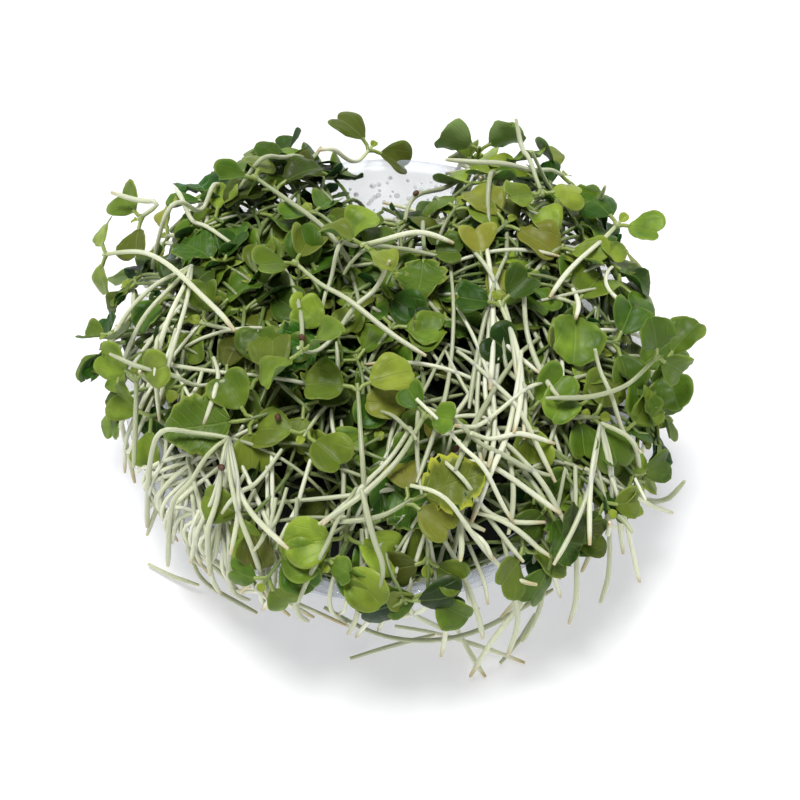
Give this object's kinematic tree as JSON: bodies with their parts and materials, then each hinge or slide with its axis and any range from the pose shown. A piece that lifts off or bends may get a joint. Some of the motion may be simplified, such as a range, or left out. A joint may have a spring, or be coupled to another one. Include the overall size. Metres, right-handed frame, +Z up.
{
  "type": "microgreens tray",
  "caption": "Shallow round clear tray heaped with cut brassica microgreens, their pale stems and heart-shaped leaves spilling over the rim.",
  "frame": {"origin": "middle of the tray's flat underside", "axes": "+Z up, -Y towards the side seen in the picture, +X to the right of that view"},
  "size_m": [0.1284, 0.1222, 0.0619],
  "materials": {
    "tray": "clear, glossy",
    "greens": "leafy, satin",
    "leaves": "leafy, satin",
    "stems": "moist, satin"
  },
  "bodies": {
    "root": {"tray": "tray", "greens_heap": "greens", "stems_front_left": "stems", "stems_left": "stems", "stems_centre_right": "stems", "stems_front_right": "stems", "stems_front": "stems", "sprig_01_stem": "stems", "sprig_01_leaves": "leaves", "sprig_02_stem": "stems", "sprig_02_leaves": "leaves", "sprig_03_stem": "stems", "sprig_03_leaves": "leaves", "sprig_04_stem": "stems", "sprig_04_leaves": "leaves", "sprig_05_stem": "stems", "sprig_05_leaves": "leaves", "sprig_06_stem": "stems", "sprig_06_leaves": "leaves", "sprig_07_stem": "stems", "sprig_07_leaves": "leaves", "sprig_08_stem": "stems", "sprig_08_leaves": "leaves", "sprig_09_stem": "stems", "sprig_09_leaves": "leaves", "sprig_10_stem": "stems", "sprig_10_leaves": "leaves", "sprig_11_stem": "stems", "sprig_11_leaves": "leaves", "sprig_12_stem": "stems", "sprig_12_leaves": "leaves", "sprig_13_stem": "stems", "sprig_13_leaves": "leaves", "sprig_14_stem": "stems", "sprig_14_leaves": "leaves", "sprig_15_stem": "stems", "sprig_15_leaves": "leaves", "sprig_16_stem": "stems", "sprig_16_leaves": "leaves", "sprig_17_stem": "stems", "sprig_17_leaves": "leaves"}
  },
  "joints": []
}
